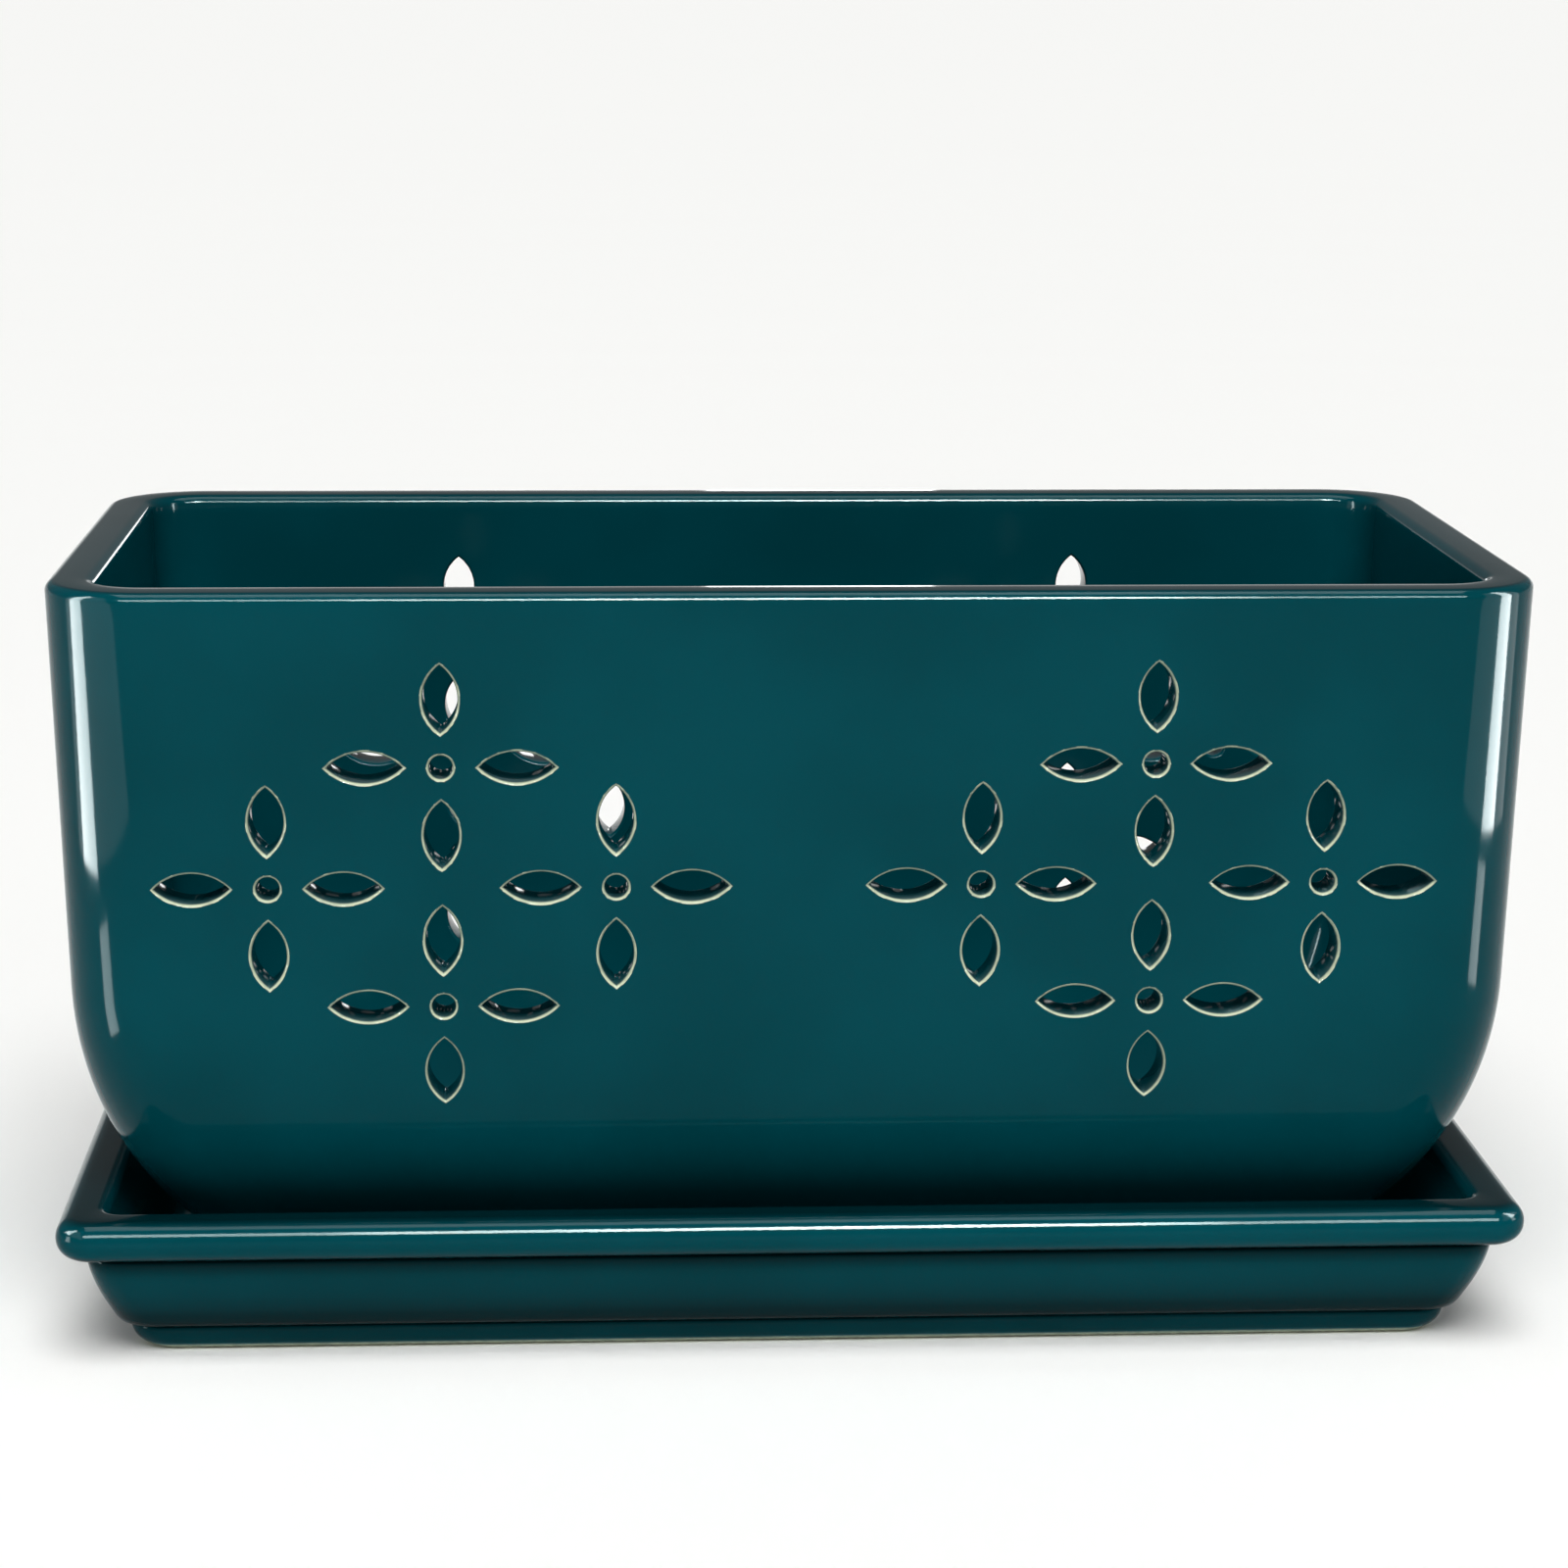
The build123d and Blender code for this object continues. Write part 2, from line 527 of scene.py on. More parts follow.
class PiercingTree:
    """Geometry nodes that lay the slots out in flowers and medallions, bend them to the walls and cut them.

    Attributes:
        values: What the tree's inputs are set to, by name.
        tree: The node tree, with a named input for each size and each cutter.
        given: The inputs' sockets, by name.
        tool: The cutters' geometry, by name.
    """

    def __init__(self, sizes: dict[str, float], cutters: dict[str, bpy.types.Object]) -> None:
        """Starts the tree with its inputs.

        Args:
            sizes: The pattern's sizes by input name, in metres or as plain numbers.
            cutters: The cutting objects by input name.
        """
        self.values = {**sizes, **cutters}
        self.tree = bpy.data.node_groups.new("pierced_walls", "GeometryNodeTree")
        self.tree.interface.new_socket("Geometry", in_out="OUTPUT", socket_type="NodeSocketGeometry")
        kinds = {
            "Geometry": "NodeSocketGeometry",
            **dict.fromkeys(sizes, "NodeSocketFloat"),
            **dict.fromkeys(cutters, "NodeSocketObject"),
        }
        for name, kind in kinds.items():
            self.tree.interface.new_socket(name, in_out="INPUT", socket_type=kind)
        self.given = add_node(self.tree, "NodeGroupInput").outputs
        self.tool = {}
        for name in cutters:
            info = add_node(self.tree, "GeometryNodeObjectInfo", {"Object": self.given[name]})
            self.tool[name] = info.outputs["Geometry"]

    def along(self, axis: str, spacing: str, count: int) -> bpy.types.NodeSocket:
        """A row of points, centred on the origin.

        Args:
            axis: "X" or "Z".
            spacing: The input that holds the distance between neighbours.
            count: Number of points.

        Returns:
            The points as a mesh.
        """
        step = add_node(self.tree, "ShaderNodeCombineXYZ", {axis: self.given[spacing]}).outputs[0]
        start = add_node(
            self.tree, "ShaderNodeVectorMath", {0: step, "Scale": (1 - count) / 2}, operation="SCALE"
        )
        line = add_node(
            self.tree,
            "GeometryNodeMeshLine",
            {"Count": count, "Start Location": start.outputs[0], "Offset": step},
        )
        return line.outputs["Mesh"]

    def on_points(self, points: bpy.types.NodeSocket, shape: bpy.types.NodeSocket) -> bpy.types.NodeSocket:
        """Copies of a shape on points, made real.

        Args:
            points: The points.
            shape: The shape.

        Returns:
            The copies.
        """
        copies = add_node(self.tree, "GeometryNodeInstanceOnPoints", {"Points": points, "Instance": shape})
        return add_node(self.tree, "GeometryNodeRealizeInstances", {0: copies.outputs[0]}).outputs[0]

    def slots(self, medallion_count: int) -> bpy.types.NodeSocket:
        """One wall's slots, laid out round the origin in the plane of X and Z.

        Args:
            medallion_count: Number of medallions in the row.

        Returns:
            The slots' plugs.
        """
        four = {"Vertices": 4, "Radius": 1.0}
        cross = add_node(self.tree, "GeometryNodeMeshCircle", four, fill_type="NONE")
        where = add_node(self.tree, "GeometryNodeInputPosition").outputs[0]
        corner = add_node(self.tree, "ShaderNodeSeparateXYZ", {0: where}).outputs
        arm = {}
        for axis, source, reach in (("X", "X", "Flower Side"), ("Z", "Y", "Flower Rise")):
            stretched = {0: corner[source], 1: self.given[reach]}
            arm[axis] = add_node(self.tree, "ShaderNodeMath", stretched, operation="MULTIPLY").outputs[0]
        spread = add_node(
            self.tree,
            "GeometryNodeSetPosition",
            {
                "Geometry": cross.outputs[0],
                "Position": add_node(self.tree, "ShaderNodeCombineXYZ", arm).outputs[0],
            },
        )
        flowers = self.on_points(self.along("X", "Medallion Spacing", medallion_count), spread.outputs[0])
        lying = self.on_points(flowers, self.along("X", "Lying Petal Spacing", 2))
        upright = self.on_points(flowers, self.along("Z", "Upright Petal Spacing", 2))
        places = {SlotKind.LYING_PETAL: lying, SlotKind.UPRIGHT_PETAL: upright, SlotKind.EYE: flowers}
        plugs = [self.on_points(points, self.tool[kind.value]) for kind, points in places.items()]
        return add_node(self.tree, "GeometryNodeJoinGeometry", {0: plugs}).outputs[0]

    def on_wall(self, slots: bpy.types.NodeSocket) -> bpy.types.NodeSocket:
        """Slots raised to their height and moved out to the front wall, each point as far as the wall lies.

        Args:
            slots: The slots in the plane of X and Z.

        Returns:
            The slots on the front wall.
        """
        lift = add_node(self.tree, "ShaderNodeCombineXYZ", {"Z": self.given["Medallion Height"]})
        raised = add_node(
            self.tree, "GeometryNodeTransform", {"Geometry": slots, "Translation": lift.outputs[0]}
        )
        where = add_node(self.tree, "GeometryNodeInputPosition").outputs[0]
        known: dict[str, Any] = {socket.name: socket for socket in self.given}
        known["height"] = add_node(self.tree, "ShaderNodeSeparateXYZ", {0: where}).outputs["Z"]
        known["two"] = 2.0
        # The wall's inset, as Pot.inset has it: each sum's name, its operation and what it takes
        for name, operation, *taken in (
            ("line foot", "MAXIMUM", "height", "Bend Height"),
            ("line rise", "SUBTRACT", "Rim Height", "line foot"),
            ("line inset", "MULTIPLY", "line rise", "Wall Slope"),
            ("arc height", "MINIMUM", "height", "Bend Height"),
            ("arc drop", "SUBTRACT", "Belly Centre", "arc height"),
            ("radius squared", "POWER", "Belly Radius", "two"),
            ("drop squared", "POWER", "arc drop", "two"),
            ("reach squared", "SUBTRACT", "radius squared", "drop squared"),
            ("reach", "SQRT", "reach squared"),
            ("arc inset", "SUBTRACT", "Belly Reach", "reach"),
            ("inset", "ADD", "line inset", "arc inset"),
            ("shift", "SUBTRACT", "inset", "Half Depth"),
        ):
            terms = {number: known[term] for number, term in enumerate(taken)}
            known[name] = add_node(self.tree, "ShaderNodeMath", terms, operation=operation).outputs[0]
        shift = add_node(self.tree, "ShaderNodeCombineXYZ", {"Y": known["shift"]})
        moved = add_node(
            self.tree, "GeometryNodeSetPosition", {"Geometry": raised.outputs[0], "Offset": shift.outputs[0]}
        )
        return moved.outputs[0]

    def finish(
        self, cuts: list[bpy.types.NodeSocket], glaze: bpy.types.Material, clay: bpy.types.Material
    ) -> None:
        """Ends the tree: takes the cuts out of the body and dresses what is left.

        Args:
            cuts: The plugs.
            glaze: Finish of the glazed faces and of the cuts.
            clay: Finish of the wiped faces.
        """
        joined = add_node(self.tree, "GeometryNodeJoinGeometry", {0: cuts})
        pierced = add_node(
            self.tree,
            "GeometryNodeMeshBoolean",
            {"Mesh 1": self.given["Geometry"], "Mesh 2": joined.outputs[0]},
            operation="DIFFERENCE",
            solver="EXACT",
        )
        real = add_node(self.tree, "GeometryNodeRealizeInstances", {0: pierced.outputs["Mesh"]})
        glazed = add_node(
            self.tree, "GeometryNodeSetMaterial", {"Geometry": real.outputs[0], "Material": glaze}
        )
        wiped = add_node(
            self.tree, "GeometryNodeInputNamedAttribute", {"Name": BARE_ATTRIBUTE}, data_type="BOOLEAN"
        )
        dressed = add_node(
            self.tree,
            "GeometryNodeSetMaterial",
            {"Geometry": glazed.outputs[0], "Selection": wiped.outputs["Attribute"], "Material": clay},
        )
        add_node(self.tree, "NodeGroupOutput", {"Geometry": dressed.outputs[0]})

    def cut(self, body: bpy.types.Object) -> bpy.types.Mesh:
        """Runs the tree on a body.

        Args:
            body: The uncut body, which stays as it is.

        Returns:
            The cut body as a plain mesh.
        """
        modifier = body.modifiers.new("piercing", "NODES")
        modifier.node_group = self.tree
        for socket in self.tree.interface.items_tree:
            if socket.in_out == "INPUT" and socket.name in self.values:
                modifier[socket.identifier] = self.values[socket.name]
        bpy.context.view_layer.update()
        mesh = bpy.data.meshes.new_from_object(body.evaluated_get(bpy.context.evaluated_depsgraph_get()))
        body.modifiers.remove(modifier)
        return mesh


@dataclass
class Pot:
    """The pierced planter: nearly upright walls, a belly rolled in to a foot ring, a thick rounded rim.

    Sizes are the CAD's, in mm. The base and the top are heights above the studio floor, and the other heights
    are above the base. Small roundings that the CAD leaves out are written where they are made.
    """

    # Overall, from the frame
    length: float
    depth: float
    base: float
    top: float

    # Walls: a leaning line above the belly's arc
    corner: float = 23.0
    wall: float = 11.0
    draft: float = math.radians(1.6)
    belly_height: float = 75.0
    belly: float = 95.0

    # Rim, with painted shade on its top, and floor
    rim_round: float = 2.4
    rim_shade: float = 0.6
    floor_height: float = 15.0
    floor_round: float = 8.0

    # Foot ring, and the notch through it on each long side
    foot_height: float = 14.0
    foot_step: float = 0.8
    foot_lean: float = 5.0
    foot_corner: float = 18.0
    foot_ring: float = 10.0
    foot_recess: float = 6.0
    recess_round: float = 1.5
    notch_width: float = 16.0
    notch_height: float = 3.5

    # Drain holes
    drain_diameter: float = 15.0
    drain_spacing: float = 84.0
    drain_count: int = 3
    drain_steps: int = 40

    # Pierced pattern, hung from the rim: medallions of four flowers, each of four petals round an eye
    medallion_spacing: float = 157.9
    medallion_count: int = 2
    medallion_drop: float = 66.2
    flower_side: float = 38.4
    flower_rise: float = 27.3
    eye: float = 6.5
    eye_steps: int = 28
    side_petal: tuple[float, float] = (18.4, 8.2)
    side_reach: float = 16.7
    rise_petal: tuple[float, float] = (16.8, 9.0)
    rise_reach: float = 15.3
    petal_steps: int = 20

    # Lips of the slots: their rounding, and how far the glaze has broken at some depths from the wall's face
    lip: float = 1.1
    lip_depths: tuple[float, ...] = (0.0, 0.3, 0.7, 1.1)
    lip_thins: tuple[float, ...] = (1.0, 1.0, 0.2, 0.0)

    @property
    def bend(self) -> float:
        """Height above the studio floor at which the wall's line meets the belly's arc."""
        return self.base + self.belly_height

    @property
    def belly_centre(self) -> float:
        """Height above the studio floor of the belly arc's centre."""
        return self.bend + self.belly * math.sin(self.draft)

    @property
    def foot_top(self) -> float:
        """Height above the studio floor at which the belly meets the foot."""
        return self.base + self.foot_height

    def drop(self, height: float) -> float:
        """How far the belly's arc has come down from its centre at a height above the studio floor."""
        return self.belly_centre - min(height, self.bend)

    def inset(self, height: float) -> float:
        """How far the outer face lies inside the rim outline.

        Args:
            height: Height above the studio floor, mm.

        Returns:
            The level distance, mm.
        """
        line = (self.top - max(height, self.bend)) * math.tan(self.draft)
        reach = math.sqrt(self.belly**2 - self.drop(height) ** 2)
        return line + self.belly * math.cos(self.draft) - reach

    def lean(self, height: float) -> float:
        """How far the outer face leans out of the upright, in radians, at a height above the studio floor."""
        return math.asin(self.drop(height) / self.belly)

    def foot_rows(self) -> list[Row]:
        """Rings of the bare underside and of the foot.

        Returns:
            The rings in order, from the middle of the underside to the belly's lower edge.
        """
        belly_end = self.inset(self.foot_top)
        belly_corner = self.corner * math.cos(self.lean(self.foot_top))
        foot_inset = belly_end + self.foot_step
        foot_base = foot_inset + self.foot_lean
        ring_inset = foot_base + self.foot_ring
        ring_corner = self.foot_corner - self.foot_ring
        roof = self.base + self.foot_recess
        rows = [Row(ring_inset + 2, roof, ring_corner - 1, bare=True)]
        for sine, cosine in sweep(0, 90, 3):
            inset = ring_inset + self.recess_round * (1 - sine)
            rows.append(Row(inset, roof - self.recess_round * (1 - cosine), ring_corner, bare=True))
        inner_edge = ((0, 0.9), (-0.25, 0.25), (-0.9, 0))
        outer_edge = ((0.9, 0), (0.2, 0.25))
        for inset, height in inner_edge:
            rows.append(Row(ring_inset + inset, self.base + height, ring_corner, bare=True))
        for inset, height in outer_edge:
            rows.append(Row(foot_base + inset, self.base + height, self.foot_corner, bare=True))
        for share in (0.06, 0.12, 0.3, 0.5, 0.7, 0.88, 0.96):
            out = share * self.foot_lean
            height = self.base + share * self.foot_height
            rows.append(Row(foot_base - out, height, self.foot_corner + out, 0.8 if share < 0.1 else 0.0))
        rows.append(Row(foot_inset - 0.15, self.foot_top - 0.12, self.foot_corner + self.foot_lean))
        rows.append(Row(belly_end + 0.25, self.foot_top - 0.02, belly_corner, 0.5))
        rows.append(Row(belly_end + 0.02, self.foot_top + 0.2, belly_corner, 0.9))
        return rows

    def wall_rows(self) -> list[Row]:
        """Rings of the outer wall.

        Returns:
            The rings in order, from the belly's lower edge to the rim's rounding.
        """
        low, high = self.foot_top, self.top - self.rim_round
        rows = []
        for height in (
            low + 0.7,
            low + 1.6,
            *np.linspace(low + 3, self.bend, 24),
            *np.linspace(self.bend, high, 36)[1:],
        ):
            corner = self.corner * math.cos(self.lean(height))
            rows.append(Row(self.inset(height), height, corner, 0.25 if height < low + 1 else 0.0))
        return rows

    def rim_rows(self) -> list[Row]:
        """Rings of the rim.

        Returns:
            The rings in order, from the outer wall over the top to the inner wall.
        """
        edge = self.inset(self.top - self.rim_round)
        rows = []
        # Painted shade lies on the rim's top and fades out down both roundings
        for sine, cosine in sweep(0, 90, 8)[1:]:
            inset = edge + self.rim_round * (1 - cosine)
            height = self.top - self.rim_round * (1 - sine)
            rows.append(Row(inset, height, self.corner - inset, -self.rim_shade * max(0.0, 6 * sine - 5)))
        rows.append(Row(self.wall / 2, self.top, self.corner - self.wall / 2, -self.rim_shade))
        for sine, cosine in sweep(0, 90, 6):
            inset = self.wall - self.rim_round * (1 - sine)
            height = self.top - self.rim_round * (1 - cosine)
            rows.append(Row(inset, height, self.corner - inset, -self.rim_shade * (1 - sine)))
        return rows

    def inside_rows(self) -> list[Row]:
        """Rings of the inner wall and the floor.

        Returns:
            The rings in order, from the rim to the middle of the floor.
        """
        floor = self.base + self.floor_height
        landing = floor + self.floor_round * (1 - math.sin(self.lean(floor)))
        inner_corner = self.corner - self.wall
        rows = []
        for height in np.linspace(self.top - self.rim_round - 2, landing, 50):
            corner = inner_corner * math.cos(self.lean(height))
            rows.append(Row(self.inset(height) + self.wall, height, corner))
        wall_end = rows[-1]
        slope = self.lean(landing)
        for sine, cosine in sweep(math.degrees(slope), 90, 5)[1:]:
            inset = wall_end.inset + self.floor_round * (math.cos(slope) - cosine)
            height = floor + (landing - floor) * (1 - sine) / (1 - math.sin(slope))
            rows.append(Row(inset, height, wall_end.corner))
        rows.append(Row(wall_end.inset + 2 * self.floor_round, floor, wall_end.corner - 2))
        return rows

    def outline(self, kind: SlotKind, swell: float) -> np.ndarray:
        """A slot's outline in the plane of the wall.

        Args:
            kind: Which slot.
            swell: How far the outline is let out, mm.

        Returns:
            Points (along X, up Z), mm, counter-clockwise as seen from the front.
        """
        if kind is SlotKind.EYE:
            return (self.eye / 2 + swell) * circle(self.eye_steps)
        length, width = self.side_petal if kind is SlotKind.LYING_PETAL else self.rise_petal
        radius = (length**2 / 4 + width**2 / 4) / width
        back = radius - width / 2
        swollen = radius + swell
        reach = math.acos(back / swollen)
        angles = np.linspace(-reach, reach, self.petal_steps, endpoint=False)
        arc = np.column_stack([-swollen * np.sin(angles), swollen * np.cos(angles) - back])
        lens = np.vstack([arc, -arc])
        return lens if kind is SlotKind.LYING_PETAL else np.column_stack([-lens[:, 1], lens[:, 0]])

    def plug(self, name: str, rings: list[np.ndarray], turned: bool = False) -> bpy.types.Object:
        """A closed tube through rings of points, as a cutting tool.

        Args:
            name: What it cuts.
            rings: Its rings, mm.
            turned: Whether the rings run clockwise, so that the faces have to be turned over.

        Returns:
            The object.
        """
        faces = tube_faces(len(rings), len(rings[0]))
        if turned:
            faces = [[face[0], *face[:0:-1]] for face in faces]
        mesh = bpy.data.meshes.new(f"cutter_{name}")
        mesh.from_pydata((np.vstack(rings) * MM).tolist(), [], faces)
        mesh.update()
        return new_object(mesh.name, mesh)

    def slot_plug(self, kind: SlotKind) -> bpy.types.Object:
        """A plug in the shape of one slot, flared where it leaves the wall so that the lips come out round.

        Args:
            kind: Which slot.

        Returns:
            A mesh object: X and Z are the slot's own, and Y is the depth into the wall.
        """
        # The flare starts part of the way round, at the slot's own outline, and runs on past the wall
        first, past = 24.0, 0.5
        turn = math.radians(first)
        bury = self.lip * (1 - math.cos(turn))
        throat = self.lip * (math.sin(turn) - 1)
        flare = [
            (throat + self.lip * (1 - sine), self.lip * (1 - cosine) - bury)
            for sine, cosine in sweep(first, 90, 5)
        ]
        levels = [(past / math.tan(turn), -past), *flare, (throat, self.wall / 2)]
        levels += [(swell, self.wall - depth) for swell, depth in levels[-2::-1]]
        rings = [lifted(self.outline(kind, swell), depth)[:, [0, 2, 1]] for swell, depth in levels]
        made = self.plug(kind.name.lower(), rings, turned=True)
        mark = made.data.attributes.new(SLOT_ATTRIBUTE, "BOOLEAN", "FACE")
        mark.data.foreach_set("value", [True] * len(made.data.polygons))
        return made

    def notch_plug(self) -> bpy.types.Object:
        """A block for the notches through the foot ring.

        Returns:
            The object.
        """
        corners = np.array([(-1, -1), (1, -1), (1, 1), (-1, 1)]) * (self.notch_width / 2, self.depth / 2)
        heights = (self.base - self.notch_height, self.base + self.notch_height)
        return self.plug("notch", [lifted(corners, height) for height in heights])

    def drain_plug(self) -> bpy.types.Object:
        """A round plug for one drain hole in the middle of the floor, bevelled below and rounded above.

        Returns:
            The object.
        """
        low, high = self.base + self.foot_recess, self.base + self.floor_height
        bevel, rounding, past = 0.7, 1.6, 0.6
        levels = [(2 * bevel, low - past), (bevel, low), (0.0, low + bevel), (0.0, high - rounding)]
        for sine, cosine in sweep(20, 66, 4):
            levels.append((rounding * (1 - cosine), high - rounding * (1 - sine)))
        levels.append((rounding + 1.0, high + past))
        radius = self.drain_diameter / 2
        rings = [lifted((radius + swell) * circle(self.drain_steps), height) for swell, height in levels]
        return self.plug("drain", rings)

    def pattern(self) -> dict[str, float]:
        """The sizes that the piercing tree takes.

        Returns:
            Sizes by input name, in metres, and the wall's slope as a plain number.
        """
        sizes = {
            "Medallion Spacing": self.medallion_spacing,
            "Medallion Height": self.top - self.medallion_drop,
            "Flower Side": self.flower_side,
            "Flower Rise": self.flower_rise,
            "Lying Petal Spacing": 2 * self.side_reach,
            "Upright Petal Spacing": 2 * self.rise_reach,
            "Rim Height": self.top,
            "Bend Height": self.bend,
            "Belly Centre": self.belly_centre,
            "Belly Radius": self.belly,
            "Belly Reach": self.belly * math.cos(self.draft),
            "Half Depth": self.depth / 2,
            "Drain Spacing": self.drain_spacing,
        }
        return {**{name: size * MM for name, size in sizes.items()}, "Wall Slope": math.tan(self.draft)}

    def pierce(self, body: bpy.types.Object, glaze: bpy.types.Material, clay: bpy.types.Material) -> None:
        """Cuts the slots, drain holes and foot notches, and leaves a plain mesh.

        Args:
            body: The uncut pot.
            glaze: Finish of the glazed faces.
            clay: Finish of the wiped faces.
        """
        cutters = {kind.value: self.slot_plug(kind) for kind in SlotKind}
        cutters["drain"] = self.drain_plug()
        cutters["notch"] = self.notch_plug()
        nodes = PiercingTree(self.pattern(), cutters)
        front = nodes.on_wall(nodes.slots(self.medallion_count))
        half_turn = {"Geometry": front, "Rotation": (0.0, 0.0, math.pi)}
        back = add_node(nodes.tree, "GeometryNodeTransform", half_turn).outputs[0]
        drains = nodes.on_points(nodes.along("X", "Drain Spacing", self.drain_count), nodes.tool["drain"])
        nodes.finish([front, back, drains, nodes.tool["notch"]], glaze, clay)
        whole = body.data
        body.data = nodes.cut(body)
        bpy.data.meshes.remove(whole)
        body.data.name = body.name
        for cutter in cutters.values():
            bpy.data.meshes.remove(cutter.data)
        bpy.data.node_groups.remove(nodes.tree)

    def straighten(self, mesh: bpy.types.Mesh) -> None:
        """Gives the pierced walls the shading of an unpierced wall, right up to the slots' lips.

        Args:
            mesh: The pierced mesh.
        """
        margin, below_bend, touching = 1.0, 30.0, 0.03
        count = len(mesh.vertices)
        points = np.empty(count * 3, dtype=np.float32)
        mesh.vertices.foreach_get("co", points)
        x, y, z = (points.reshape(-1, 3) / MM).T
        heights = np.clip(z, self.foot_top, self.top)
        outside = self.depth / 2 - np.array([self.inset(height) for height in heights])
        lean = np.array([self.lean(height) for height in heights])
        straight = np.abs(x) < self.length / 2 - self.corner - margin
        straight &= (z > self.bend - below_bend) & (z < self.top - self.rim_round - margin)
        normals = np.zeros((count, 3))
        for reach, facing in ((outside, 1.0), (outside - self.wall, -1.0)):
            near = straight & (np.abs(np.abs(y) - reach) < touching)
            side = np.sign(y[near]) * facing
            normals[near, 1] = side * np.cos(lean[near])
            normals[near, 2] = -facing * np.sin(lean[near])
        mesh.normals_split_custom_set_from_vertices(normals.tolist())

    def bare_lips(self, mesh: bpy.types.Mesh) -> None:
        """Marks where the glaze has run off the outer lips of the slots, most where they face up.

        Args:
            mesh: The pierced mesh.
        """
        level_run_off, upward_run_off = 0.75, 0.45
        marks = mesh.attributes[SLOT_ATTRIBUTE].data
        corners: dict[bool, set[int]] = {True: set(), False: set()}
        for face in mesh.polygons:
            corners[marks[face.index].value].update(face.vertices)
        thin = mesh.attributes[BREAK_AND_SHADE_ATTRIBUTE].data
        for index in corners[True] - corners[False]:
            vertex = mesh.vertices[index]
            _, y, z = vertex.co / MM
            sunk = self.depth / 2 - self.inset(z) - abs(y)
            run_off = level_run_off + upward_run_off * vertex.normal.z
            thin[index].value = run_off * float(np.interp(sunk, self.lip_depths, self.lip_thins))
        mesh.attributes.remove(mesh.attributes[SLOT_ATTRIBUTE])

    def build(self, glaze: bpy.types.Material, clay: bpy.types.Material) -> bpy.types.Object:
        """Makes the finished pot.

        Args:
            glaze: Finish of the glazed faces.
            clay: Finish of the wiped faces.

        Returns:
            The pot's object, at the origin.
        """
        plan = RoundedPlan(self.length / 2, self.depth / 2, steps_x=100, steps_y=26, steps_corner=16)
        rows = [*self.foot_rows(), *self.wall_rows(), *self.rim_rows(), *self.inside_rows()]
        made = new_object("pierced_pot", plan.solid("pierced_pot", rows))
        self.pierce(made, glaze, clay)
        self.bare_lips(made.data)
        self.straighten(made.data)
        return made


